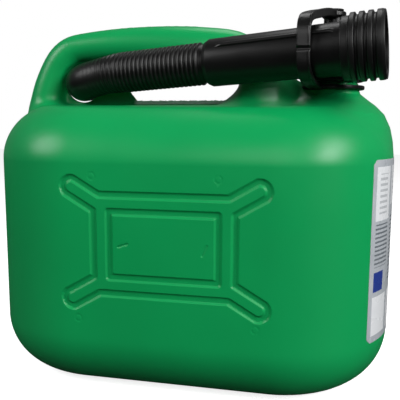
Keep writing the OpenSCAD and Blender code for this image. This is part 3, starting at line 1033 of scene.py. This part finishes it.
def hose_radius(s):
    """The hose's outer radius, with ridges that fade out towards its smooth tip."""
    phase = (s - RIDGE_START) / RIDGE_PITCH % 1
    ridge = step(0.05, 0.28, phase) * (1 - step(0.55, 0.78, phase))
    fade = step(0, 1, s - RIDGE_START) * (1 - step(*RIDGE_FADE, s))
    trunk = HOSE_VALLEY + (HOSE_TIP_RADIUS - HOSE_VALLEY) * step(RIDGE_FADE[0] - 10, RIDGE_FADE[1], s)
    thin = 0.7 * step(HOSE_LENGTH - 8, HOSE_LENGTH, s)
    faint = 0.07 * (1 - fade) * (1 - step(RIDGE_FADE[1], RIDGE_TRACE_END, s)) * (s > RIDGE_START)
    waist = 0.8 * (1 - step(-2.2, -0.4, s - RIDGE_START))
    return trunk + ((HOSE_RADIUS - HOSE_VALLEY) * fade + faint) * ridge - waist - thin


def build_hose():
    """The hose, swept along its centre line."""
    smooth_from = 92
    outer = np.concatenate([np.arange(0, smooth_from, RIDGE_PITCH / 9), np.linspace(smooth_from, HOSE_LENGTH, 26)])
    inner = np.linspace(HOSE_LENGTH, 0, 60)
    s = np.concatenate([outer, inner])
    r = np.concatenate([hose_radius(outer), np.full(len(inner), HOSE_BORE_RADIUS)])
    centre = hose_path(s)
    ahead = hose_path(s + 0.05) - hose_path(s - 0.05)
    ahead[s > HOSE_LENGTH - 0.1] = hose_path(HOSE_LENGTH) - hose_path(HOSE_LENGTH - 0.2)
    ahead = unit(ahead)
    across = unit(np.cross(ahead, np.array(SPOUT_UP)))
    up = np.cross(across, ahead)
    segments = 72
    angle = np.linspace(0, 2 * math.pi, segments, endpoint=False)
    points = (centre[:, None] + r[:, None, None] * (np.cos(angle)[None, :, None] * across[:, None]
                                                    + np.sin(angle)[None, :, None] * up[:, None]))
    hose = tidy_mesh(new_piece("flexible_hose", points.reshape(-1, 3), ring_faces(len(s), segments)), 60)
    paint(hose, black_plastic("black_hose", 0.38))
    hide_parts("corrugated_hose")
    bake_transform(hose)


def label_material():
    """A silver film with plain white boxes, a blue block and grey rules."""
    material, nodes, links, shader = new_material("printed_film")
    place = nodes.new("ShaderNodeSeparateXYZ")
    links.new(nodes.new("ShaderNodeTexCoord").outputs["Object"], place.inputs["Vector"])
    y, z = place.outputs["Y"], place.outputs["Z"]

    def calc(kind, a, b=0.0):
        return maths(nodes, links, kind, a, b)

    def block(front, back, bottom, top):
        """1 inside a rectangle of the film and 0 outside it."""
        mask = calc("MULTIPLY", calc("GREATER_THAN", y, front * MM), calc("LESS_THAN", y, back * MM))
        mask = calc("MULTIPLY", mask, calc("GREATER_THAN", z, bottom * MM))
        return calc("MULTIPLY", mask, calc("LESS_THAN", z, top * MM))

    def rules(area, pitch):
        """Level rules across a rectangle of the film."""
        wave = calc("FRACT", calc("DIVIDE", z, pitch * MM))
        return calc("MULTIPLY", block(*area), calc("LESS_THAN", wave, 0.45))

    white, pale_grey, dark_grey = (0.78, 0.8, 0.82), (0.5, 0.52, 0.54), (0.16, 0.18, 0.2)
    blue = (0.02, 0.045, 0.26)
    colour = ramp(nodes, links, noise(nodes, links, 30, 2), [(0.3, (0.4, 0.43, 0.46)), (0.7, (0.48, 0.51, 0.54))])
    layers = [(block(*area), white) for area in LABEL_PANELS]
    layers += [(rules(area, 2.6), dark_grey) for area in LABEL_DARK_RULES]
    layers += [(rules(area, 3.4), pale_grey) for area in LABEL_PALE_RULES]
    for mask, over in layers + [(block(*LABEL_BLUE_BLOCK), blue)]:
        colour = blended(nodes, links, mask, colour, over)
    links.new(colour, shader.inputs["Base Color"])
    links.new(spread(nodes, links, noise(nodes, links, 80, 3), 0.2, 0.34), shader.inputs["Roughness"])
    add_skin(nodes, links, shader, 45, 2, 0.15, 0.0005)
    return material


def build_label():
    """The film round the right end, laid on the moulding."""
    corner, half = LABEL_CORNER, LABEL_HALF_WIDTH
    widths = np.linspace(-half, half, 73)
    heights = np.linspace(LABEL_BOTTOM, LABEL_TOP, 41)
    points, lifts, index = [], [], {}
    for side, lift in enumerate(LABEL_LIFTS):
        for j, z in enumerate(heights):
            inset = 0.0
            for edge in (z - LABEL_BOTTOM, LABEL_TOP - z):
                if edge < corner:
                    inset = corner - math.sqrt(corner ** 2 - (corner - edge) ** 2)
            for i, w in enumerate(widths):
                y = w * (half - inset) / half
                reach = max(abs(y) - (HALF_WIDTH - CORNER_RADIUS), 0)
                x = HALF_LENGTH - CORNER_RADIUS + math.sqrt((CORNER_RADIUS + lift) ** 2 - reach ** 2)
                index[side, j, i] = len(points)
                points.append((x, y, z))
                lifts.append(lift)
    # The film lies on the moulding, which swells a little below the neck.
    points = np.array(points)
    outward = points - [HALF_LENGTH - CORNER_RADIUS, 0, 0]
    outward[:, 2] = 0
    outward = unit(outward)
    for _ in range(4):
        points += outward * (lifts - plain_can_field(points))[:, None]
    faces, rows, columns = [], len(heights), len(widths)
    for j in range(rows - 1):
        for i in range(columns - 1):
            for side in (0, 1):
                faces.append(tuple(index[side, *at] for at in ((j, i), (j, i + 1), (j + 1, i + 1), (j + 1, i))))
    rim = [(0, i) for i in range(columns)] + [(j, columns - 1) for j in range(1, rows)]
    rim += [(rows - 1, i) for i in range(columns - 2, -1, -1)] + [(j, 0) for j in range(rows - 2, 0, -1)]
    for a, b in zip(rim, rim[1:] + rim[:1]):
        faces.append((index[0, *a], index[0, *b], index[1, *b], index[1, *a]))
    label = tidy_mesh(new_piece("end_film", points, faces), 50)
    paint(label, label_material())
    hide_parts("end_label")
    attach(label, "can")


def paint_seals():
    """The two seals keep their CAD shape."""
    rubber = moulded_plastic("seal_rubber", (0.05, 0.05, 0.05), (0.065, 0.065, 0.065), 0.7, 1800, 0.2)
    for node in ("cap_seal", "spout_gasket"):
        paint(frame["nodes"][node], rubber)


build_camera()
build_room()
for light in LIGHTS:
    area_light(*light)
build_floor()
build_can()
build_label()
build_cap()
build_strap()
build_tube()
build_nut()
build_hose()
paint_seals()
